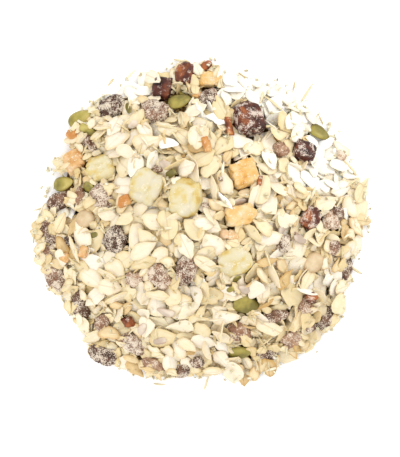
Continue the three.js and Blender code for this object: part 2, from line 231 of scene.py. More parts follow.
def rolled_flake(name, tones, rim, crease, rim_share=0.7):
    """Rolled cereal grain, steamed and pressed: matt and starchy, a little translucent.

    The eye sees a pale floury face with faint fibres along it, each flake its own tone, a browner
    bran rim on some and the crease of the grain along the middle of some."""
    material, tree = new_material(name)
    place = add_node(tree, "UVMap", uv_map="flake_place").outputs["UV"]
    tone = add_node(tree, "Attribute", attribute_name="tone").outputs["Fac"]
    where = add_node(tree, "TexCoord").outputs["Object"]
    luck = add_node(tree, "TexWhiteNoise", {"W": tone}, noise_dimensions="1D").outputs["Color"]
    lucky = add_node(tree, "SeparateXYZ", {0: luck})
    along = add_node(tree, "VectorMath", {0: place, 1: (4.0, 24.0, 1.0)}, operation="MULTIPLY")
    along = add_node(tree, "VectorMath", {0: luck, 1: (90.0,) * 3, 2: along}, operation="MULTIPLY_ADD")
    fibres = add_node(tree, "TexNoise", {"Vector": along, "Scale": 1.0, "Detail": 3.0})
    mottle = add_node(tree, "TexNoise", {"Vector": where, "Scale": per_mm(2.6), "Detail": 4.0})
    grain = add_node(tree, "TexNoise", {"Vector": where, "Scale": per_mm(0.5), "Detail": 2.0})
    uneven = add_node(tree, "Math", {0: mottle, 1: 0.5, 2: tone}, operation="MULTIPLY_ADD")
    uneven = add_node(tree, "Math", {0: fibres, 1: 0.5, 2: uneven}, operation="MULTIPLY_ADD")
    share = add_node(tree, "Math", {0: uneven, 1: 0.5}, operation="SUBTRACT")
    shade = add_node(tree, "ValToRGB", {0: share}, tones)
    centred = add_node(tree, "VectorMath", {0: place, 1: (0.5, 0.5, 0.0)}, operation="SUBTRACT")
    out = add_node(tree, "Attribute", attribute_name="out").outputs["Fac"]
    edge = add_node(
        tree, "MapRange", {0: out, 1: 0.5, 2: 1.0, 3: 0.0, 4: rim_share}, interpolation_type="SMOOTHSTEP"
    )
    edge = add_node(tree, "Math", {0: edge, 1: lucky}, operation="MULTIPLY")
    rimmed = add_node(tree, "Mix", {0: edge, 6: shade, 7: linear(rim)}, data_type="RGBA")
    off_line = add_node(tree, "SeparateXYZ", {0: centred})
    off_line = add_node(tree, "Math", {0: off_line.outputs[1]}, operation="ABSOLUTE")
    line = add_node(
        tree, "MapRange", {0: off_line, 1: 0.0, 2: 0.07, 3: 1.0, 4: 0.0}, interpolation_type="SMOOTHSTEP"
    )
    creased = add_node(tree, "MapRange", {0: lucky.outputs[1], 1: 0.45, 2: 1.0, 3: 0.0, 4: 0.9})
    line = add_node(tree, "Math", {0: line, 1: creased}, operation="MULTIPLY")
    broken = add_node(tree, "Math", {0: line, 1: fibres}, operation="MULTIPLY")
    lined = add_node(tree, "Mix", {0: broken, 6: rimmed.outputs[2], 7: linear(crease)}, data_type="RGBA")
    height = add_node(tree, "Math", {0: line, 1: -0.7, 2: grain}, operation="MULTIPLY_ADD")
    height = add_node(tree, "Math", {0: mottle, 1: 2.5, 2: height}, operation="MULTIPLY_ADD")
    bump = add_node(tree, "Bump", {"Height": height, "Strength": 0.55, "Distance": 0.3 * MM})
    surface = {
        "Base Color": lined.outputs[2],
        "Roughness": 0.68,
        "IOR": 1.45,
        "Subsurface Weight": 0.18,
        "Subsurface Radius": (1.0, 0.75, 0.4),
        "Subsurface Scale": 1.0 * MM,
        "Specular IOR Level": 0.3,
        "Normal": bump,
    }
    return finished(material, tree, surface)


def dried_fruit(
    name, flesh, dust, grain_size, roughness, uneven=0.9, flank_shade=0.0, patchy=0.6, worms=0.6,
    translucency=0.0, glow=(1, 0.4, 0.2),
):
    """Dried or candied fruit tossed in flour or sugar so that it doesn't stick.

    The eye sees mottled flesh whose tone shifts towards the darker end of its ramp down its flanks,
    painted shade as far as flank_shade says, and powder in patches that is broken up grain by grain. Each
    piece has its own tone and its own share of powder.

    grain_size is in mm, uneven is how mottled the flesh is, patchy how much the powder gathers, and
    worms how far its grains run together. translucency and glow are how light spreads inside."""
    material, tree = new_material(name)
    where = add_node(tree, "TexCoord").outputs["Object"]
    tone = add_node(tree, "Attribute", attribute_name="tone").outputs["Fac"]
    dusting = add_node(tree, "Attribute", attribute_name="dusting").outputs["Fac"]
    flank = add_node(tree, "Attribute", attribute_name="flank").outputs["Fac"]
    mottle = add_node(tree, "TexNoise", {"Vector": where, "Scale": per_mm(4.5), "Detail": 3.0})
    speckle = {"Scale": per_mm(grain_size), "Detail": 2.0, "Roughness": 0.7, "Distortion": worms}
    grains = add_node(tree, "TexNoise", {"Vector": where, **speckle})
    patches = add_node(tree, "TexNoise", {"Vector": where, "Scale": per_mm(3.0), "Detail": 2.0})
    mottled = add_node(tree, "Math", {0: mottle, 1: uneven, 2: tone}, operation="MULTIPLY_ADD")
    # painted shade: the tone shifts towards the ramp's darker end down the flanks, as far as flank_shade
    # says
    mottled = add_node(tree, "Math", {0: flank, 1: flank_shade, 2: mottled}, operation="MULTIPLY_ADD")
    share = add_node(tree, "Math", {0: mottled, 1: uneven / 2}, operation="SUBTRACT")
    colour = add_node(tree, "ValToRGB", {0: share}, flesh)
    cover_share = add_node(tree, "Math", {0: patches, 1: patchy, 2: grains}, operation="MULTIPLY_ADD")
    cover_share = add_node(tree, "Math", {0: dusting, 1: 0.26, 2: cover_share}, operation="MULTIPLY_ADD")
    bare = 0.66 + patchy / 2
    powder = add_node(
        tree, "MapRange", {0: cover_share, 1: bare, 2: bare + 0.1, 3: 0.0, 4: 0.85},
        interpolation_type="SMOOTHSTEP",
    )
    mixed = add_node(tree, "Mix", {0: powder, 6: colour, 7: linear(dust)}, data_type="RGBA")
    rough = add_node(tree, "MapRange", {0: powder, 1: 0.0, 2: 0.6, 3: roughness, 4: 0.9})
    bump = add_node(
        tree, "Bump", {"Height": cover_share, "Strength": 0.5, "Distance": 0.5 * grain_size * MM}
    )
    surface = {
        "Base Color": mixed.outputs[2],
        "Roughness": rough,
        "IOR": 1.46,
        "Specular IOR Level": 0.25,
        "Subsurface Weight": translucency,
        "Subsurface Radius": glow,
        "Subsurface Scale": 2.0 * MM,
        "Normal": bump,
    }
    return finished(material, tree, surface)


def smooth_seed(name, stops, roughness):
    """A hulled seed or nut: a thin satin skin with a mottled tone, darker down its flanks towards its edge
    and so paler on top, as painted shade."""
    material, tree = new_material(name)
    where = add_node(tree, "TexCoord").outputs["Object"]
    tone = add_node(tree, "Attribute", attribute_name="tone").outputs["Fac"]
    flank = add_node(tree, "Attribute", attribute_name="flank").outputs["Fac"]
    mottle = add_node(tree, "TexNoise", {"Vector": where, "Scale": per_mm(3.0), "Detail": 5.0})
    uneven = add_node(tree, "Math", {0: mottle, 1: 0.8, 2: tone}, operation="MULTIPLY_ADD")
    # painted shade: darker down the flanks, so that the top is paler
    uneven = add_node(tree, "Math", {0: flank, 1: -0.35, 2: uneven}, operation="MULTIPLY_ADD")
    share = add_node(tree, "Math", {0: uneven, 1: 0.4}, operation="SUBTRACT")
    colour = add_node(tree, "ValToRGB", {0: share}, stops)
    pores = add_node(tree, "TexNoise", {"Vector": where, "Scale": per_mm(0.5), "Detail": 2.0})
    bump = add_node(tree, "Bump", {"Height": pores, "Strength": 0.25, "Distance": 0.2 * MM})
    surface = {
        "Base Color": colour,
        "Roughness": roughness,
        "IOR": 1.47,
        "Subsurface Weight": 0.08,
        "Subsurface Scale": 1.0 * MM,
        "Normal": bump,
    }
    return finished(material, tree, surface)


def painted_surface(name, colour):
    """A matt white table that glows faintly, painted light that lifts the heap's shadow off it, with the
    faintest unevenness.
    """
    material, tree = new_material(name)
    where = add_node(tree, "TexCoord").outputs["Object"]
    cloud = add_node(tree, "TexNoise", {"Vector": where, "Scale": per_mm(60), "Detail": 2.0})
    shade = add_node(tree, "ValToRGB", {0: cloud}, [(0.3, colour), (0.7, "#FDFDFD")])
    # painted light: the table glows so that the heap's shadow on it fades
    glow = {"Emission Color": linear(colour), "Emission Strength": 0.15}
    return finished(material, tree, {"Base Color": shade, "Roughness": 0.8, **glow})


MATERIALS = {
    "raisin": dried_fruit(
        "floured_raisin_skin",
        [(0.0, "#2A1B15"), (0.4, "#5A3E30"), (0.75, "#8E6850"), (1.0, "#B08C6E")],
        "#E4D5C0", 0.48, 0.65, patchy=0.7, worms=0.3,
    ),
    # Dates are darker down their flanks: painted shade.
    "date": dried_fruit(
        "floured_date_flesh",
        [(0.0, "#301C18"), (0.35, "#5E3022"), (0.7, "#A86030"), (1.0, "#C8905A")],
        "#DCCCBC", 0.5, 0.45, uneven=1.5, flank_shade=-0.2, patchy=1.1, worms=0.9,
        translucency=0.1, glow=(1, 0.35, 0.15),
    ),
    "papaya": dried_fruit(
        "candied_papaya",
        [(0.0, "#CE903E"), (0.3, "#D8AC64"), (0.65, "#DEC08C"), (1.0, "#E2D0B2")],
        "#E6DAC6", 0.7, 0.4, uneven=1.7, translucency=0.3, glow=(1.0, 0.6, 0.3),
    ),
    "pink_papaya": dried_fruit(
        "pink_candied_papaya",
        [(0.0, "#BE8244"), (0.3, "#D2A66C"), (0.65, "#DEBC92"), (1.0, "#E6D0B4")],
        "#E8DAC4", 0.7, 0.4, uneven=1.7, translucency=0.3, glow=(1.0, 0.5, 0.35),
    ),
    # Pineapple is darker and yellower down its flanks: painted shade.
    "pineapple": dried_fruit(
        "soft_dried_pineapple",
        [(0.0, "#D3CAB0"), (0.35, "#D3C8A3"), (0.65, "#D0BB7C"), (1.0, "#BE9C4A")],
        "#E2D8BE", 0.9, 0.6, uneven=2.3, flank_shade=0.4, translucency=0.3,
        glow=(1.0, 0.85, 0.5),
    ),
    "sunflower_kernel": smooth_seed(
        "sunflower_kernel_skin", [(0.1, "#B4A08E"), (0.5, "#D2C2AE"), (0.9, "#E4D8C4")], 0.5
    ),
    "nut": smooth_seed("blanched_nut", [(0.1, "#BC9E74"), (0.5, "#D3BE9A"), (0.9, "#E0D2B8")], 0.55),
    # The core: crumbs in a dark brown that paints the shade in the gaps between the flakes.
    "crumb_core_and_shade": dried_fruit(
        "crumbs_and_painted_shade", [(0.3, "#5C3C1A"), (0.5, "#8E6836"), (0.7, "#B8925A")], "#C8A868", 0.9, 0.8,
    ),
    "pumpkin_seed": smooth_seed(
        "pumpkin_seed_skin",
        [(0.0, "#706628"), (0.3, "#A09242"), (0.6, "#C0B064"), (1.0, "#D8CA90")], 0.42,
    ),
}

PINK_PAPAYA = ("papaya_3", "papaya_4")

# How light (0 dark to 1 light) and how floured each piece of a kind is, in the order of the CAD nodes'
# numbers. Set against the photograph.
LOOKS = {
    "raisin": [
        (0.2, 0.69), (0.55, 0.78), (0.5, 0.52), (0.4, 0.64), (0.85, 0.6), (0.3, 0.75), (0.7, 0.9),
        (0.55, 0.74), (0.8, 0.85), (0.55, 0.84), (0.5, 0.45), (0.5, 0.7), (0.72, 0.78), (0.6, 0.7),
        (0.45, 0.6), (0.7, 0.6), (0.3, 0.7), (0.6, 0.97), (0.85, 0.48), (0.4, 0.7), (0.55, 0.78),
        (0.75, 0.5), (0.8, 0.54), (0.4, 0.72), (0.85, 0.54), (0.4, 0.62), (0.85, 0.97), (0.55, 0.78),
        (0.4, 0.56), (0.75, 0.44),
    ],
    "date": [(0.25, 0.1), (0.5, 0.15), (0.35, 0.5), (0.18, 0.58), (0.45, 0.5)],
    "papaya": [(0.4, 0.25), (0.6, 0.2), (0.5, 0.3), (0.35, 0.3), (0.5, 0.3)],
    "pineapple": [(0.35, 0.15), (0.1, 0.2), (0.3, 0.1), (0.2, 0.3)],
    "nut": [(0.4, 0.0), (0.5, 0.0)],
    "pumpkin_seed": [(0.5, 0.0), (0.5, 0.0), (0.35, 0.0), (0.3, 0.0), (0.3, 0.0), (0.3, 0.0)],
}

# ---------------------------------------------------------------- fruit, nuts and seeds


def facets_of(name, block):
    """A convex CAD piece in mm: its middle, its faces' normals and distances, and its own axes.

    The axes are its corners' principal directions, the longest first. Six flats square to them
    are added, at the share block of the piece's own reach along each."""
    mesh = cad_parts[name].data
    corners = np.empty(3 * len(mesh.vertices), np.float32)
    mesh.vertices.foreach_get("co", corners)
    corners = corners.reshape(-1, 3).astype(float) / MM
    mesh.calc_loop_triangles()
    index = np.empty(3 * len(mesh.loop_triangles), np.int32)
    mesh.loop_triangles.foreach_get("vertices", index)
    a, b, c = corners[index.reshape(-1, 3)].transpose(1, 0, 2)
    across = np.cross(b - a, c - a)
    area = np.linalg.norm(across, axis=1)
    middle = ((a + b + c) / 3 * area[:, None]).sum(0) / area.sum()
    normals = across / area[:, None]
    spread = np.unique(np.round(corners, 3), axis=0) - middle
    _, axes = np.linalg.eigh(spread.T @ spread)
    axes = axes[:, ::-1].copy()
    axes[:, 2] = np.cross(axes[:, 0], axes[:, 1])
    along = spread @ axes
    flats = np.concatenate([axes.T, -axes.T])
    reaches = block * np.concatenate([along.max(0), -along.min(0)])
    distances = np.concatenate([((a - middle) * normals).sum(1), reaches])
    return middle, np.concatenate([normals, flats]), distances, axes


def rounded_reach(normals, distances, directions, sharpness):
    """How far a rounded polyhedron reaches: each face gives direction dot normal over distance,
    the faces are summed as a power mean, and the result is scaled back to the true mean reach."""
    toward = np.maximum(directions @ normals.T / distances, 1e-6)
    soft = (toward**sharpness).sum(1) ** (-1 / sharpness)
    exact = 1 / toward.max(1)
    return soft * exact.mean() / soft.mean()


def raisin_relief(local, seed):
    """Lumps, long folds along the raisin and finer puckers between them, as a change of radius."""
    along = local * (0.55, 1.0, 1.0)
    bent = along + 0.8 * noise(local / 3.2, seed)[:, None]
    lumps = 0.75 * noise(local / 3.2, seed + 1)
    folds = 0.85 * creases(bent / 2.2, seed + 2, 0.2)
    puckers = 0.4 * creases(bent / 1.05, seed + 3, 0.24)
    return lumps - folds - puckers + 0.5


def date_relief(local, seed):
    """Fibrous cut flesh: low lumps, torn creases and small pits."""
    lumps = 0.35 * noise(local / 2.6, seed)
    torn = 0.45 * creases(local / 3.4 * (0.6, 1, 1), seed + 1, 0.1)
    pits = 0.08 * noise(local / 0.9, seed + 2)
    return lumps - torn + pits + 0.08


def papaya_relief(local, seed):
    """Candied dice: soft dents, and a skin of sugar grains."""
    dents = 0.5 * noise(local / 3.0, seed) - 0.6 * creases(local / 4.4, seed + 2, 0.1)
    return dents + 0.1 * noise(local / 0.8, seed + 1)


def pineapple_relief(local, seed):
    """Soft chunks of fruit: wide dents and two or three folds across the chunk."""
    folds = 0.55 * creases(local / (9.0, 5.0, 9.0), seed + 1, 0.12)
    return 0.6 * noise(local / 3.6, seed) - folds + 0.08


def nut_relief(local, seed):
    """A kernel with shallow grooves along it and a wide dent or two."""
    return 0.14 * noise(local / (5.0, 1.3, 1.3), seed) + 0.35 * noise(local / 3.5, seed + 1)


def seed_relief(local, seed):
    """A flat seed with a raised rim round its edge and a soft ripple on its faces."""
    flat = np.abs(local[:, 2]) / np.abs(local[:, 2]).max()
    return 0.12 * noise(local / 3.0, seed) + 0.16 * np.exp(-((flat / 0.3) ** 2))


FRUIT = {
    # kind: relief, how near the flats lie, sharpness of the edges, rows and columns of points
    "raisin": (raisin_relief, 0.95, 18, 72, 60),
    "date": (date_relief, 0.86, 70, 72, 60),
    "papaya": (papaya_relief, 0.85, 50, 72, 60),
    "pineapple": (pineapple_relief, 0.92, 30, 64, 56),
    "nut": (nut_relief, 0.88, 14, 40, 32),
    "pumpkin_seed": (seed_relief, 1.0, 9, 44, 36),
}


def fruit_piece(name, seed, fruit_top):
    """A fruit in the place of its CAD piece: the rounded reach in every direction of a ball's
    grid, plus the kind's relief. Its flank is how far below its top a point lies, 0 to 1.
    The heights of the field are raised to it."""
    kind, number = name.rsplit("_", 1)
    relief, block, sharpness, rows, columns = FRUIT[kind]
    middle, normals, distances, axes = facets_of(name, block)
    ball = ball_directions(rows, columns)
    reach = rounded_reach(normals, distances, ball @ axes.T, sharpness)
    local = ball * (reach + relief(ball * reach[:, None], seed))[:, None]
    points = local @ axes.T + middle
    points[:, 2] = np.maximum(points[:, 2], 0.0)
    height = points[:, 2]
    np.maximum.at(fruit_top, cells_at(points[:, 0], points[:, 1]), height)
    flank = np.clip((height.max() - height) / (height.max() - middle[2]), 0, 1)
    tone, dusting = LOOKS[kind][int(number) - 1]
    layers = {"tone": tone, "dusting": dusting, "flank": flank}
    mesh = piece_mesh(name + "_skin", points, *closed_faces(rows, columns), layers)
    look = "pink_papaya" if name in PINK_PAPAYA else kind
    return add_piece(name + "_skin", mesh, MATERIALS[look], [name])


# ---------------------------------------------------------------- the ground flakes rest on


def top_over(name):
    """The height of a CAD node over each cell of the field, 0 beside it."""
    height = np.zeros((FIELD_CELLS, FIELD_CELLS))
    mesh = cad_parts[name].data
    corners = [corner.co for corner in mesh.vertices]
    tree = BVHTree.FromPolygons(corners, [tuple(face.vertices) for face in mesh.polygons])
    for column, row in np.ndindex(height.shape):
        x, y = (np.array([column, row]) + 0.5) * CELL - FIELD_REACH
        hit = tree.ray_cast(Vector((x * MM, y * MM, 1.0)), Vector((0, 0, -1)))[0]
        if hit is not None:
            height[column, row] = hit.z / MM
    return height


def smoothed(height, passes):
    """A height field blurred by averaging each cell with its four neighbours, several times."""
    for _ in range(passes):
        near = sum(np.roll(height, step, axis) for step in (-1, 1) for axis in (0, 1))
        height = 0.2 * (height + near)
    return height


def cells_at(x, y):
    """The field's cell under each point."""
    column = np.clip(((x + FIELD_REACH) / CELL).astype(int), 0, FIELD_CELLS - 1)
    row = np.clip(((y + FIELD_REACH) / CELL).astype(int), 0, FIELD_CELLS - 1)
    return column, row


# How far the heap reaches, in mm from its middle, every 10 degrees from the right towards the top. A
# scratch script measured these in the photograph, and some were then moved by hand. Between 60 and
# 80 degrees the light burns the rim away and the reach is guessed.
HEAP_REACH = [
    72.5, 73.5, 72.4, 70.4, 70.6, 69.1, 67.5, 67.0, 68.0, 70.5, 70.6, 68.2,
    70.5, 70.1, 70.8, 66.1, 69.5, 67.6, 71.2, 71.4, 69.9, 67.2, 67.4, 71.7,
    68.9, 68.5, 64.7, 64.5, 62.4, 70.6, 69.1, 70.6, 69.7, 72.0, 68.2, 67.6,
]
APRON_HEIGHT = 2.2  # how high the flakes may lie where the solid ends short of the rim
OVERHANG = 2.0  # how far the flakes stick out beyond the place that they are laid on


def to_the_rim():
    """How far each cell lies inside the line that flakes are laid up to, from the heap's reach in
    the cell's direction."""
    line = (np.arange(FIELD_CELLS) + 0.5) * CELL - FIELD_REACH
    x, y = np.meshgrid(line - HEAP_MIDDLE[0], line - HEAP_MIDDLE[1], indexing="ij")
    reach = np.interp(np.degrees(np.arctan2(y, x)), np.arange(0, 360, 10), HEAP_REACH, period=360)
    return reach - OVERHANG - np.hypot(x, y)


CRUMB_REACH = (73.0, 72.0)  # half the width and depth that crumbs and slivers may lie within


def inside_reach(x, y):
    """Whether a crumb may lie there: inside an oval as wide and deep as the crumbs' reach."""
    return np.hypot(x / CRUMB_REACH[0], y / CRUMB_REACH[1]) < 1


# Points on a unit disc where a flake is tried against the ground: the middle and three rings.
PROBES = np.concatenate(
    [[[0.0, 0.0]]]
    + [
        radius * np.stack([np.cos(turn), np.sin(turn)], -1)
        for radius, count in ((0.4, 6), (0.72, 8), (0.98, 10))
        for turn in [np.arange(count) / count * 2 * math.pi + radius]
    ]
)
TILT_STEPS = np.array([-0.9, -0.6, -0.38, -0.2, -0.08, 0.08, 0.2, 0.38, 0.6, 0.9])
TILTS = np.stack(np.meshgrid(TILT_STEPS, TILT_STEPS), -1).reshape(-1, 2)
MAX_SLOPE = 1.8
NESTING = 4  # a flake rests on its fourth highest probe, as thin flakes bend and nest


def bases(turn, slopes):
    """Right-handed axes of a plate: along and across it, with the given slopes, and its normal."""
    along = np.stack(
        [np.full(len(slopes), math.cos(turn)), np.full(len(slopes), math.sin(turn)), slopes[:, 0]], -1
    )
    across = np.stack(
        [np.full(len(slopes), -math.sin(turn)), np.full(len(slopes), math.cos(turn)), slopes[:, 1]], -1
    )
    normal = np.cross(along, across)
    normal /= np.linalg.norm(normal, axis=1)[:, None]
    along /= np.linalg.norm(along, axis=1)[:, None]
    return np.stack([along, np.cross(normal, along), normal], 1)


def rest(ground, x, y, half, turn, looseness, steep, rng):
    """Lays a plate on the ground: of many tilts it takes one whose middle lies nearly lowest.

    Each tilt's height is that of the ground under one of its highest probes, less the plate's own
    rise there. The few probes that lie higher still are pressed in.
    looseness is how much higher than the lowest the chosen tilt may lie, in mm. A steep plate
    stands on edge, pushed down between the others."""
    spots = PROBES * half
    cos, sin = math.cos(turn), math.sin(turn)
    plan = np.stack([spots[:, 0] * cos - spots[:, 1] * sin, spots[:, 0] * sin + spots[:, 1] * cos], -1)
    under = ground[cells_at(x + plan[:, 0], y + plan[:, 1])]
    fitted = (spots * (under - under.mean())[:, None]).sum(0) / (spots**2).sum(0)
    if steep:
        tilts = np.array([[0.4 * rng.uniform(-1, 1), rng.choice([-1, 1]) * rng.uniform(1.4, 3.2)]])
    else:
        tilts = np.clip(fitted + TILTS, -MAX_SLOPE, MAX_SLOPE)
    axes = bases(turn, tilts)
    offsets = np.einsum("pk,tkj->tpj", spots, axes[:, :2])
    under = ground[cells_at(x + offsets[..., 0], y + offsets[..., 1])]
    lifts = under - offsets[..., 2]
    give = len(spots) * 2 // 3 if steep else len(spots) - NESTING
    heights = np.partition(lifts, give, axis=1)[:, give]
    low = np.flatnonzero(heights <= heights.min() + looseness)
    chosen = rng.choice(low)
    return axes[chosen], heights[chosen]


def cover(ground, x, y, z, half, axes, thickness):
    """Raises the ground to the plate's upper face over the plate's footprint."""
    reach = half.max()
    (left, low), (right, high) = (
        [int(cell) for cell in cells_at(np.array(x + side * reach), np.array(y + side * reach))]
        for side in (-1, 1)
    )
    columns, rows = np.meshgrid(np.arange(left, right + 1), np.arange(low, high + 1), indexing="ij")
    dx = (columns + 0.5) * CELL - FIELD_REACH - x
    dy = (rows + 0.5) * CELL - FIELD_REACH - y
    (ux, uy, uz), (vx, vy, vz) = axes[0], axes[1]
    turned = ux * vy - uy * vx
    along = (dx * vy - dy * vx) / turned
    across = (dy * ux - dx * uy) / turned
    inside = (along / half[0]) ** 2 + (across / half[1]) ** 2 < 1
    top = z + along * uz + across * vz + thickness
    patch = ground[left : right + 1, low : high + 1]
    patch[inside] = np.maximum(patch[inside], top[inside])


# ---------------------------------------------------------------- flakes

# Each kind's share of the flakes, ranges of length in mm and of width over length, and thickness and
# fold in mm.
FLAKE_KINDS = {
    "pale_oat_flakes": dict(share=0.72, length=(9.0, 13.5), slim=(0.46, 0.74), thick=0.65, fold=1.1),
    "small_oat_flakes": dict(share=0.12, length=(4.6, 8.0), slim=(0.5, 0.85), thick=0.6, fold=0.6),
    "golden_wheat_flakes": dict(share=0.11, length=(7.0, 11.0), slim=(0.42, 0.6), thick=0.8, fold=0.9),
    # Near-white flakes: painted glare where the light burns flakes out, and a few very white flakes.
    "white_and_glare_flakes": dict(share=0.02, length=(8.0, 12.5), slim=(0.5, 0.7), thick=0.7, fold=0.6),
}
SLIVER = dict(length=(3.0, 8.5), slim=(0.08, 0.17), thick=0.5, fold=0.1)
CRUMB = dict(length=(0.7, 2.2), slim=(0.45, 0.9), thick=0.5, fold=0.2)
FLAKE_KINDS |= {"husk_slivers": SLIVER, "oat_crumbs": CRUMB}
FLAKE_MATERIALS = {
    "husk_slivers": rolled_flake(
        "oat_husk", [(0.0, "#BCA678"), (0.35, "#D6C69C"), (0.7, "#E6DAB8"), (1.0, "#EEE8D2")],
        "#BC9E6A", "#A48A5C", 0.5,
    ),
    "oat_crumbs": rolled_flake(
        "oat_crumb", [(0.0, "#B4A680"), (0.4, "#D2CAAA"), (0.75, "#E4DFC6"), (1.0, "#F0ECDC")],
        "#BCA47A", "#A08C64", 0.4,
    ),
    "pale_oat_flakes": rolled_flake(
        "rolled_oat", [(0.0, "#D9C69A"), (0.3, "#E4D5B0"), (0.65, "#EBDEC6"), (1.0, "#F1E7D8")],
        "#D8BE84", "#BE9E68",
    ),
    "small_oat_flakes": rolled_flake(
        "broken_oat", [(0.0, "#D4BC88"), (0.35, "#E4D1A6"), (0.7, "#EBDDBD"), (1.0, "#EFE5D0")],
        "#CCAE72", "#B08E5C",
    ),
    "golden_wheat_flakes": rolled_flake(
        "rolled_wheat", [(0.0, "#C8A870"), (0.35, "#DCC394"), (0.7, "#E8D6AE"), (1.0, "#EFE3C8")],
        "#BC9456", "#987040", 0.9,
    ),
    # Near-white flakes: painted glare where the light burns flakes out, and a few very white flakes.
    "white_and_glare_flakes": rolled_flake(
        "white_flake_and_painted_glare", [(0.05, "#E9E1CE"), (0.35, "#F3EDE0"), (0.7, "#F9F5EE"), (1.0, "#FCFAF6")],
        "#E4D8BA", "#CFBD98",
    ),
}
FIRST_FLAKES = 2000
TOP_FLAKES = 1800
SMALL_FLAKES = 650
TOP_LAYER = 2.2  # the large flakes of the top are laid on what reaches this far under the target
TRIES = 16
LARGE_OVER_FRUIT = 0.25  # how much of a flake may lie over fruit
SMALL_OVER_FRUIT = 0.72
SMALL_LAYER_SINKS = (1.2, 0.8)  # how far under the target small flakes fill up, first and last
FRUIT_SINK = 2.5  # how far a flake may cut into the side of a fruit
LEAST_LACK = 0.3  # a place that lacks less height than this gets no more flakes
STEEP_SHARE, STEEP_FROM = 0.1, 6  # share of flakes on edge, and the height that they start at
LOOSENESS = [0.05, 0.5, 1.2]  # how much higher than the lowest a flake may come to rest
MOST_OVER_TARGET = 3.0

# Where the light burns the flakes out, painted as near-white flakes of glare, and where very white flakes
# lie: pixel and reach in pixels. A scratch script found the first eight pixels in the photograph, and the
# rest were set by eye.
GLARE_AND_WHITE_SPOTS = [
    (323, 158, 18), (275, 108, 14), (314, 185, 12), (301, 124, 14), (236, 87, 12), (206, 112, 7),
    (224, 98, 8), (291, 169, 8), (63, 213, 9), (340, 180, 10), (345, 215, 8), (310, 290, 7),
    (255, 92, 8), (137, 143, 7), (262, 78, 14), (285, 92, 16), (305, 108, 16), (322, 132, 14),
    (345, 165, 10), (230, 72, 9), (132, 84, 14), (113, 92, 8), (52, 140, 12), (40, 182, 10),
]

# Where golden flakes lie, and where a seed or fruit lies bare: pixel and reach in pixels.
GOLDEN_SPOTS = [
    (354, 224, 12), (265, 372, 14), (143, 369, 14), (105, 332, 9), (69, 226, 8), (219, 367, 7),
    (293, 346, 9), (281, 203, 7), (242, 331, 8), (135, 330, 6), (350, 240, 9), (66, 246, 7),
]
BARE_SPOTS = [
    (320, 129, 6), (55, 198, 7), (62, 183, 7), (179, 101, 7), (171, 174, 2), (159, 111, 7), (188, 268, 7),
    (117, 238, 5), (309, 216, 6), (245, 304, 6), (110, 103, 9), (240, 353, 4),
]

# Rings of a flake from the middle of its upper face over the rim to the middle of its lower face:
# how far out each lies, and how far up or down as a share of half the thickness.
FLAKE_RINGS = ((0.45, 1.0), (0.8, 0.95), (0.95, 0.75), (1.0, -0.1), (0.88, -0.9))
FLAKE_SECTORS = 16


def lay_flakes(ground, target, fruit, laid, kinds, number, over_fruit, rng):
    """Lays flakes one after another where the heap is still lowest against its target height."""
    shares = np.array([FLAKE_KINDS[kind]["share"] for kind in kinds])
    inside = np.argwhere(target > HEAP_EDGE)
    glare_and_whites, golden, bare = (
        np.array([(*from_photo(x, y), reach * MM_PER_PIXEL) for x, y, reach in spots])
        for spots in (GLARE_AND_WHITE_SPOTS, GOLDEN_SPOTS, BARE_SPOTS)
    )
    for _ in range(number):
        picks = inside[rng.integers(len(inside), size=TRIES)]
        lack = (target - ground)[picks[:, 0], picks[:, 1]]
        if lack.max() < LEAST_LACK:
            continue
        column, row = picks[lack.argmax()]
        x, y = (np.array([column, row]) + rng.uniform(0, 1, 2)) * CELL - FIELD_REACH
        kind = kinds[rng.choice(len(kinds), p=shares / shares.sum())]
        # A flake in a glare spot is made near white: painted glare where the light burns flakes out.
        if (np.hypot(x - glare_and_whites[:, 0], y - glare_and_whites[:, 1]) < glare_and_whites[:, 2]).any():
            kind = "white_and_glare_flakes"
        elif (np.hypot(x - golden[:, 0], y - golden[:, 1]) < golden[:, 2]).any():
            kind = "golden_wheat_flakes"
        rule = FLAKE_KINDS[kind]
        length = rng.uniform(*rule["length"])
        half = np.array([length, length * rng.uniform(*rule["slim"])]) / 2
        turn = rng.uniform(0, 2 * math.pi)
        spots = PROBES * half.mean()
        if (fruit[cells_at(x + spots[:, 0], y + spots[:, 1])] > 0).mean() > over_fruit:
            continue
        away = np.hypot(x + spots[:, :1] - bare[:, 0], y + spots[:, 1:] - bare[:, 1])
        if (away < bare[:, 2]).any():
            continue
        steep = rng.random() < STEEP_SHARE and target[column, row] > STEEP_FROM
        axes, height = rest(ground, x, y, half, turn, rng.choice(LOOSENESS), steep, rng)
        if height > target[column, row] + MOST_OVER_TARGET:
            continue
        z = max(height + rule["thick"] / 2, half[0] * abs(axes[0, 2]) + half[1] * abs(axes[1, 2]))
        cover(ground, x, y, z, half, axes, rule["thick"] / 2)
        laid.setdefault(kind, []).append((x, y, z, *half, *axes.ravel()))


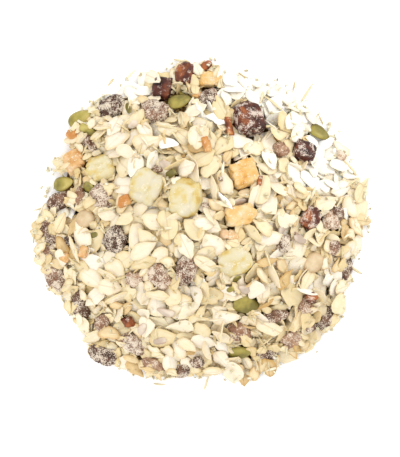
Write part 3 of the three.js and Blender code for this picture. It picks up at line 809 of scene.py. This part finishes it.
def flake_points(laid, thickness, fold, rng):
    """Every flake of a kind as one array of points.

    Each is a grid of rings and sectors. The outline is an oval pointed or blunted by a power,
    narrowed towards one end, with slow waves and now and then a notch. The middle surface is
    folded along the grain, bent along its length, twisted and crinkled, and the thickness falls
    off towards the rim."""
    count = len(laid)
    turn = np.arange(FLAKE_SECTORS) / FLAKE_SECTORS * 2 * math.pi

    def each(low, high, shape=(1,)):
        return rng.uniform(low, high, (count, *shape))

    power = each(1.35, 2.3)
    outline = (np.abs(np.cos(turn)) ** power + np.abs(np.sin(turn)) ** power) ** (-1 / power)
    for waves, swing in ((2, 0.05), (3, 0.1), (5, 0.08), (7, 0.05)):
        outline *= 1 + each(-swing, swing) * np.cos(waves * turn + each(0, 6.3))
    gap = np.angle(np.exp(1j * (turn - each(0, 6.3))))
    outline *= 1 - np.maximum(each(-0.4, 0.45), 0) * np.exp(-((gap / 0.35) ** 2))
    out = np.array([ring for ring, _ in FLAKE_RINGS])[None, :, None]
    side = np.array([level for _, level in FLAKE_RINGS])[None, :, None]
    reach = outline[:, None, :] * out
    along = reach * np.cos(turn)
    across = reach * np.sin(turn) * (1 - each(-0.45, 0.45, (1, 1)) * along)
    centre = np.zeros((count, 1))
    along = np.concatenate([centre, along.reshape(count, -1), centre], 1)
    across = np.concatenate([centre, across.reshape(count, -1), centre], 1)
    level = np.broadcast_to(side, (count, len(FLAKE_RINGS), FLAKE_SECTORS)).reshape(count, -1)
    level = np.concatenate([centre + 1, level, centre - 1], 1)
    middle = each(-fold, fold) * (np.abs(across) ** 1.2 - 0.35)
    middle += each(-0.8, 0.8) * (along**2 - 0.3) + each(-0.5, 0.5) * along * across
    crinkle = np.sin(along * each(2, 5) + across * each(-4, 4) + each(0, 6.3))
    middle += each(0.05, 0.28) * crinkle
    x = along * laid[:, 3:4]
    y = across * laid[:, 4:5]
    z = middle + level * thickness / 2
    axes = laid[:, 5:].reshape(count, 3, 3)
    points = np.stack([x, y, z], -1) @ axes + laid[:, None, :3]
    places = np.stack([0.5 + along / 2, 0.5 + across / 2], -1)
    return points, places


def flake_piece(kind, laid, rng, replaced):
    """All the flakes of a kind as one piece, each with a tone of its own."""
    rule = FLAKE_KINDS[kind]
    points, places = flake_points(laid, rule["thick"], rule["fold"], rng)
    points[..., 2] = np.maximum(points[..., 2], 0.02)
    count, corners = points.shape[:2]
    fans, bands = closed_faces(len(FLAKE_RINGS), FLAKE_SECTORS)
    steps = (np.arange(count) * corners)[:, None, None]
    tone = np.repeat(rng.beta(2.0, 1.7, count), corners)
    out = np.concatenate([[0], np.repeat([ring for ring, _ in FLAKE_RINGS], FLAKE_SECTORS), [0]])
    faces = (fans + steps).reshape(-1, 3), (bands + steps).reshape(-1, 4)
    layers = {"tone": tone, "out": np.tile(out, count)}
    mesh = piece_mesh(kind, points.reshape(-1, 3), *faces, layers, places.reshape(-1, 2))
    return add_piece(kind, mesh, FLAKE_MATERIALS[kind], replaced)


def strew(ground, kind, chance, number, laid, rng):
    """Drops small flakes of a kind at cells drawn by chance, each where it comes to rest."""
    cells = np.argwhere(chance > 0)
    weights = chance[cells[:, 0], cells[:, 1]]
    rule = FLAKE_KINDS[kind]
    for pick in rng.choice(len(cells), number, p=weights / weights.sum()):
        x, y = (cells[pick] + rng.uniform(0, 1, 2)) * CELL - FIELD_REACH
        length = rng.uniform(*rule["length"])
        half = np.array([length, length * rng.uniform(*rule["slim"])]) / 2
        axes, height = rest(ground, x, y, half, rng.uniform(0, 2 * math.pi), 0.3, False, rng)
        middle, tip = np.array([x, y]), half[0] * axes[0, :2]
        if not (inside_reach(*(middle + tip)) and inside_reach(*(middle - tip))):
            continue
        z = height + rule["thick"] / 2
        cover(ground, x, y, z, half, axes, rule["thick"] / 2)
        laid.setdefault(kind, []).append((x, y, z, *half, *axes.ravel()))


# The long husks that stand out in the photograph, each between two of its pixels.
STRAWS = [
    (178, 109, 180, 128), (183, 112, 182, 129), (152, 124, 186, 132), (167, 104, 176, 117),
    (160, 128, 178, 126), (264, 95, 284, 112), (343, 158, 360, 177), (302, 101, 314, 82),
    (107, 85, 113, 77), (125, 79, 135, 68), (90, 112, 106, 104), (204, 392, 209, 376),
    (58, 170, 70, 187), (96, 214, 124, 204), (196, 128, 203, 138), (96, 318, 106, 306),
]


def lay_straws(ground, laid, rng):
    """Lays each straw in its place, on whatever lies under it."""
    for start_x, start_y, end_x, end_y in STRAWS:
        start, end = np.array(from_photo(start_x, start_y)), np.array(from_photo(end_x, end_y))
        run, (x, y) = end - start, (start + end) / 2
        half = np.array([np.hypot(*run) / 2, rng.uniform(0.35, 0.7)])
        axes, height = rest(ground, x, y, half, math.atan2(run[1], run[0]), 0.0, False, rng)
        laid.setdefault("husk_slivers", []).append((x, y, height + 0.3, *half, *axes.ravel()))


# ---------------------------------------------------------------- small bits of fruit and seed

# kind: pixel, length and width in pixels, turn in degrees, lightness and powder of each bit
BITS = {
    "papaya": [
        (125, 201, 14, 12, 20, 0.0, 0.1), (84, 252, 13, 9, 70, 0.15, 0.2), (65, 258, 12, 10, 0, 0.3, 0.2),
        (72, 134, 15, 11, 10, 0.1, 0.1), (206, 145, 17, 9, -80, 0.15, 0.1), (196, 95, 10, 8, 0, 0.05, 0.1),
        (200, 262, 10, 8, 30, 0.4, 0.2),
    ],
    "date": [
        (206, 65, 18, 10, 50, 0.75, 0.1), (229, 127, 22, 8, -80, 0.75, 0.1),
        (311, 297, 15, 12, 60, 0.6, 0.3), (128, 322, 13, 12, 0, 0.6, 0.2), (259, 181, 10, 5, 80, 0.7, 0.1),
    ],
    "raisin": [
        (197, 362, 16, 13, 20, 0.4, 0.7), (70, 241, 13, 10, -60, 0.2, 0.55),
        (312, 328, 18, 10, 20, 0.5, 0.75), (283, 243, 10, 17, 0, 0.5, 0.8),
        (50, 239, 14, 10, 0, 0.5, 0.7), (296, 236, 9, 8, 0, 0.6, 0.9),
        (338, 212, 15, 12, -30, 0.5, 0.7), (345, 262, 9, 8, 0, 0.2, 0.6),
        (220, 180, 7, 6, 0, 0.5, 0.7), (158, 170, 9, 7, 0, 0.5, 0.75), (205, 206, 8, 6, 0, 0.7, 0.9),
        (342, 155, 12, 8, -40, 0.9, 1.0),
    ],
    "pumpkin_seed": [
        (89, 131, 22, 9, -28, 0.5, 0), (88, 188, 19, 12, 70, 0.4, 0), (171, 174, 13, 9, 35, 0.2, 0),
        (94, 235, 10, 6, 20, 0.2, 0), (237, 278, 10, 9, 60, 0.3, 0), (182, 92, 8, 7, 0, 0.6, 0),
        (230, 289, 11, 6, 25, 0.6, 0), (128, 108, 14, 7, -70, 0.25, 0),
    ],
    "sunflower_kernel": [
        (238, 202, 20, 9, 10, 0.5, 0), (165, 165, 15, 9, -20, 0.6, 0), (245, 289, 19, 10, -15, 0.5, 0),
        (166, 312, 19, 9, -20, 0.6, 0), (299, 239, 17, 9, -20, 0.4, 0), (160, 341, 15, 8, 10, 0.5, 0),
        (133, 125, 12, 8, 40, 0.7, 0), (281, 229, 12, 8, 70, 0.5, 0), (142, 329, 15, 9, 60, 0.7, 0),
    ],
}
BIT_SHAPES = {
    # kind: thickness over width, sharpness, corners, relief
    "papaya": (0.85, 50, 7, papaya_relief), "date": (0.8, 50, 7, date_relief),
    "raisin": (0.8, 9, 16, raisin_relief), "pumpkin_seed": (0.32, 7, 24, nut_relief),
    "sunflower_kernel": (0.5, 7, 24, nut_relief),
}


def bit_piece(kind, ground, fruit, rng):
    """All the small bits of a kind as one piece. Each is a round-cornered block: the gauge of a
    random polyhedron, stretched to the bit's size, pushed a little into the flakes under it."""
    rows, columns = 22, 20
    ball = ball_directions(rows, columns)
    thick, sharpness, corners, relief = BIT_SHAPES[kind]
    parts, layers = [], {"tone": [], "dusting": [], "flank": []}
    for pixel_x, pixel_y, length, width, turn, tone, dusting in BITS[kind]:
        x, y = from_photo(pixel_x, pixel_y)
        half = np.array([length, width]) * MM_PER_PIXEL / 2
        axes, height = rest(ground, x, y, 0.8 * half, math.radians(turn), 0.0, False, rng)
        size = np.array([*half, thick * half[1]])
        normals = rng.normal(size=(corners, 3))
        normals = np.concatenate([normals, np.eye(3), -np.eye(3)])
        normals /= np.linalg.norm(normals, axis=1)[:, None]
        reach = rounded_reach(normals, np.full(len(normals), 0.92), ball, sharpness)
        local = ball * reach[:, None] * size
        local += ball * (0.5 * relief(local, int(rng.integers(999))))[:, None]
        points = local @ axes + (x, y, height + 0.3 * size[2])
        points[:, 2] = np.maximum(points[:, 2], 0.02)
        flank = np.clip((points[:, 2].max() - points[:, 2]) / size[2], 0, 1)
        for name, value in (("tone", tone), ("dusting", dusting), ("flank", flank)):
            layers[name].append(np.broadcast_to(value, len(points)))
        parts.append(points)
        cover(ground, x, y, height + 0.3 * size[2], half, axes, 0.8 * size[2])
        cover(fruit, x, y, height + 0.3 * size[2], 0.9 * half, axes, 0.8 * size[2])
    fans, bands = closed_faces(rows, columns)
    steps = (np.arange(len(parts)) * len(ball))[:, None, None]
    layers = {name: np.concatenate(values) for name, values in layers.items()}
    faces = (fans + steps).reshape(-1, 3), (bands + steps).reshape(-1, 4)
    mesh = piece_mesh(kind + "_bits", np.concatenate(parts), *faces, layers)
    look = "pink_papaya" if kind == "papaya" else kind
    return add_piece(kind + "_bits", mesh, MATERIALS[look], [])


# ---------------------------------------------------------------- the core


def core_piece(core, material):
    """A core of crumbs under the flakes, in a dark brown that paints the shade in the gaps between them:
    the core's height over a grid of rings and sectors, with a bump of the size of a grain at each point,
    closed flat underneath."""
    rings, sectors = 56, 120
    turn = np.arange(sectors) / sectors * 2 * math.pi
    reach = np.linspace(0, FIELD_REACH - 2, 181)
    x, y = reach[:, None] * np.cos(turn), reach[:, None] * np.sin(turn)
    edge = reach[(core[cells_at(x, y)] > 0.6).sum(0) - 1]
    share = np.linspace(1 / rings, 1, rings)[:, None]
    x, y = share * edge * np.cos(turn), share * edge * np.sin(turn)
    z = core[cells_at(x, y)]
    z = z + 0.8 * noise(np.stack([x, y, 0 * x], -1) / 2.2, SEED + 7)
    z[-1] = 0.4
    top = np.stack([x, y, np.maximum(z, 0.4)], -1).reshape(-1, 3)
    floor = np.stack([x[-1], y[-1], 0 * x[-1]], -1)
    crown = [[0, 0, core[cells_at(np.zeros(1), np.zeros(1))][0]]]
    points = np.concatenate([crown, top, floor, [[0, 0, 0]]])
    layers = {"tone": 0.3, "dusting": 0.5, "flank": 0.0}
    mesh = piece_mesh("crumb_core_and_shade", points, *closed_faces(rings + 1, sectors), layers)
    return add_piece("crumb_core_and_shade", mesh, material, [])


# ---------------------------------------------------------------- the scene


def camera_and_light():
    """A long lens straight above the heap, and soft daylight that comes mostly from upper right."""
    scene = bpy.context.scene
    camera = bpy.data.cameras.new("camera")
    camera.sensor_width = SENSOR
    camera.lens = SENSOR * (CAMERA_HEIGHT - FOCUS_LEVEL) / (PHOTO_HEIGHT * MM_PER_PIXEL)
    camera.clip_end = 20
    holder = bpy.data.objects.new("camera", camera)
    x, y = from_photo(PHOTO_WIDTH / 2, PHOTO_HEIGHT / 2)
    holder.location = (x * MM, y * MM, CAMERA_HEIGHT * MM)
    scene.collection.objects.link(holder)
    scene.camera = holder
    for name, place, size, power in (
        ("window", (0.55, 0.5, 0.8), 0.6, 3.3),
        ("fill", (-0.7, -0.5, 0.7), 0.9, 3.4),
        ("near_window", (0.14, 0.12, 0.12), 0.06, 0.04),
    ):
        lamp = bpy.data.lights.new(name, "AREA")
        lamp.shape = "DISK"
        lamp.size = size
        lamp.energy = power
        light = bpy.data.objects.new(name, lamp)
        light.location = place
        light.rotation_euler = (-Vector(place)).to_track_quat("-Z", "Y").to_euler()
        scene.collection.objects.link(light)
    world = bpy.data.worlds.new("pale_room")
    world.use_nodes = True
    world.node_tree.nodes["Background"].inputs[0].default_value = linear("#FFFFFF")
    world.node_tree.nodes["Background"].inputs[1].default_value = 1.09
    scene.world = world
    scene.view_settings.view_transform = "Standard"


def table_top():
    """A wide pale surface that the heap lies on."""
    half = 3.0
    corners = np.array([[-half, -half, 0], [half, -half, 0], [half, half, 0], [-half, half, 0]]) / MM
    mesh = piece_mesh("table_top", corners, np.zeros((0, 3), int), np.array([[0, 1, 2, 3]]))
    mesh.materials.append(painted_surface("white_table", "#FAFAFA"))
    table = bpy.data.objects.new("table_top", mesh)
    bpy.context.scene.collection.objects.link(table)
    table.location.z = -0.0002


def dress_fruit():
    """Every fruit, nut and seed in its CAD node's place, and the height of the highest over each
    cell."""
    fruit_top = np.zeros((FIELD_CELLS, FIELD_CELLS))
    for number, name in enumerate(sorted(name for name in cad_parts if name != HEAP)):
        fruit_piece(name, 100 + 10 * number, fruit_top)
    return fruit_top


def heap_levels(fruit_top):
    """The height that flakes are laid up to, and the core's height under them.

    The target is the modelled heap, blurred, banked up against the sides of round fruit and run out
    to the rim as an apron. The core lies CORE_DEPTH under the target, or under a more blurred heap
    where that is lower."""
    heap_top = top_over(HEAP)
    target = smoothed(np.maximum(heap_top, 0.6 * fruit_top), SMOOTHING_PASSES)
    beside_fruit = np.where(smoothed((fruit_top > 0).astype(float), BANK_PASSES) > BANK_FROM, 1.0, 0.0)
    bank = np.minimum(BANK_STEEPNESS * smoothed(fruit_top, BANK_PASSES), target + BANK_RISE)
    target = np.maximum(target, smoothed(bank * beside_fruit, 10))
    inward = to_the_rim()
    target = np.where(inward > 0, np.maximum(target, np.minimum(inward, APRON_HEIGHT)), 0)
    packed = smoothed(np.maximum(heap_top, 0.8 * fruit_top), 2 * SMOOTHING_PASSES)
    return target, np.maximum(np.minimum(packed, target) - CORE_DEPTH, 0)


def lay_heap(ground, target, fruit_top, rng):
    """Lays the whole heap from the inside out and gives back each kind's flakes: large ones below,
    small ones to fill up, half of the large ones of the top, the bits of fruit and seed, the other
    half, and small ones again. Straws, slivers and crumbs come last."""
    laid = {}
    large = ["pale_oat_flakes", "golden_wheat_flakes", "white_and_glare_flakes", "small_oat_flakes"]
    top_kinds, small = large[:3], ["small_oat_flakes"]
    under_top = target - np.minimum(TOP_LAYER, 0.6 * target)
    first_fill, last_fill = (target - sink for sink in SMALL_LAYER_SINKS)
    half_top = TOP_FLAKES // 2
    lay_flakes(ground, under_top, fruit_top, laid, large, FIRST_FLAKES, LARGE_OVER_FRUIT, rng)
    lay_flakes(ground, first_fill, fruit_top, laid, small, SMALL_FLAKES, SMALL_OVER_FRUIT, rng)
    lay_flakes(ground, target, fruit_top, laid, top_kinds, half_top, LARGE_OVER_FRUIT, rng)
    for kind in BITS:
        bit_piece(kind, ground, fruit_top, rng)
    lay_flakes(ground, target, fruit_top, laid, top_kinds, half_top, LARGE_OVER_FRUIT, rng)
    lay_flakes(ground, last_fill, fruit_top, laid, small, SMALL_FLAKES, SMALL_OVER_FRUIT, rng)
    near_rim = smoothed((target > HEAP_EDGE).astype(float), RIM_PASSES)
    line = (np.arange(FIELD_CELLS) + 0.5) * CELL - FIELD_REACH
    reached = inside_reach(*np.meshgrid(line, line, indexing="ij"))
    beside = np.where((target < HEAP_EDGE) & (near_rim > RIM_LEAST) & reached, near_rim**2, 0)
    on_heap = np.where(target > HEAP_EDGE, 1.0, 0) * np.where(fruit_top > 0, 0.2, 1.0)
    lay_straws(ground, laid, rng)
    for kind, (number_on_heap, number_beside) in LOOSE_PIECES.items():
        strew(ground, kind, on_heap, number_on_heap, laid, rng)
        strew(ground, kind, beside, number_beside, laid, rng)
    return laid


rng = np.random.default_rng(SEED)
fruit_top = dress_fruit()
target, core = heap_levels(fruit_top)
laid = lay_heap(np.maximum(core, fruit_top - FRUIT_SINK), target, fruit_top, rng)
core_piece(core, MATERIALS["crumb_core_and_shade"])
for kind, rows in laid.items():
    flake_piece(kind, np.array(rows), rng, [HEAP] if "flakes" in kind else [])

camera_and_light()
table_top()
